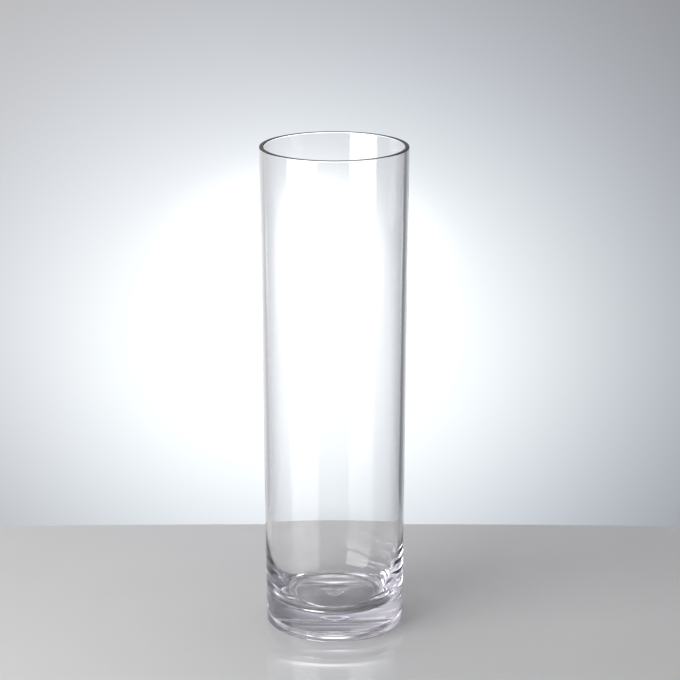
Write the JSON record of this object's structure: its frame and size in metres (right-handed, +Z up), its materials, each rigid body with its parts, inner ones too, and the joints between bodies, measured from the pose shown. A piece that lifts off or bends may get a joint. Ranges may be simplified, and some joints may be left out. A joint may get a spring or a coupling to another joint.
{
  "type": "cylinder vase",
  "caption": "Tall clear cylinder vase moulded in one piece, with thin gently drafted walls, an open mouth and a thick solid base with a soft inner corner.",
  "frame": {"origin": "centre of the foot, on the plane that the vase stands on", "axes": "+Z up along the vase's axis, towards the mouth; the vase is round, so +X and +Y are any two level directions"},
  "size_m": [0.12, 0.12, 0.405],
  "materials": {
    "clear_glass": "polished clear, with a faint violet tint where it is thick"
  },
  "bodies": {
    "root": {"vase_body": "clear_glass"}
  },
  "joints": []
}
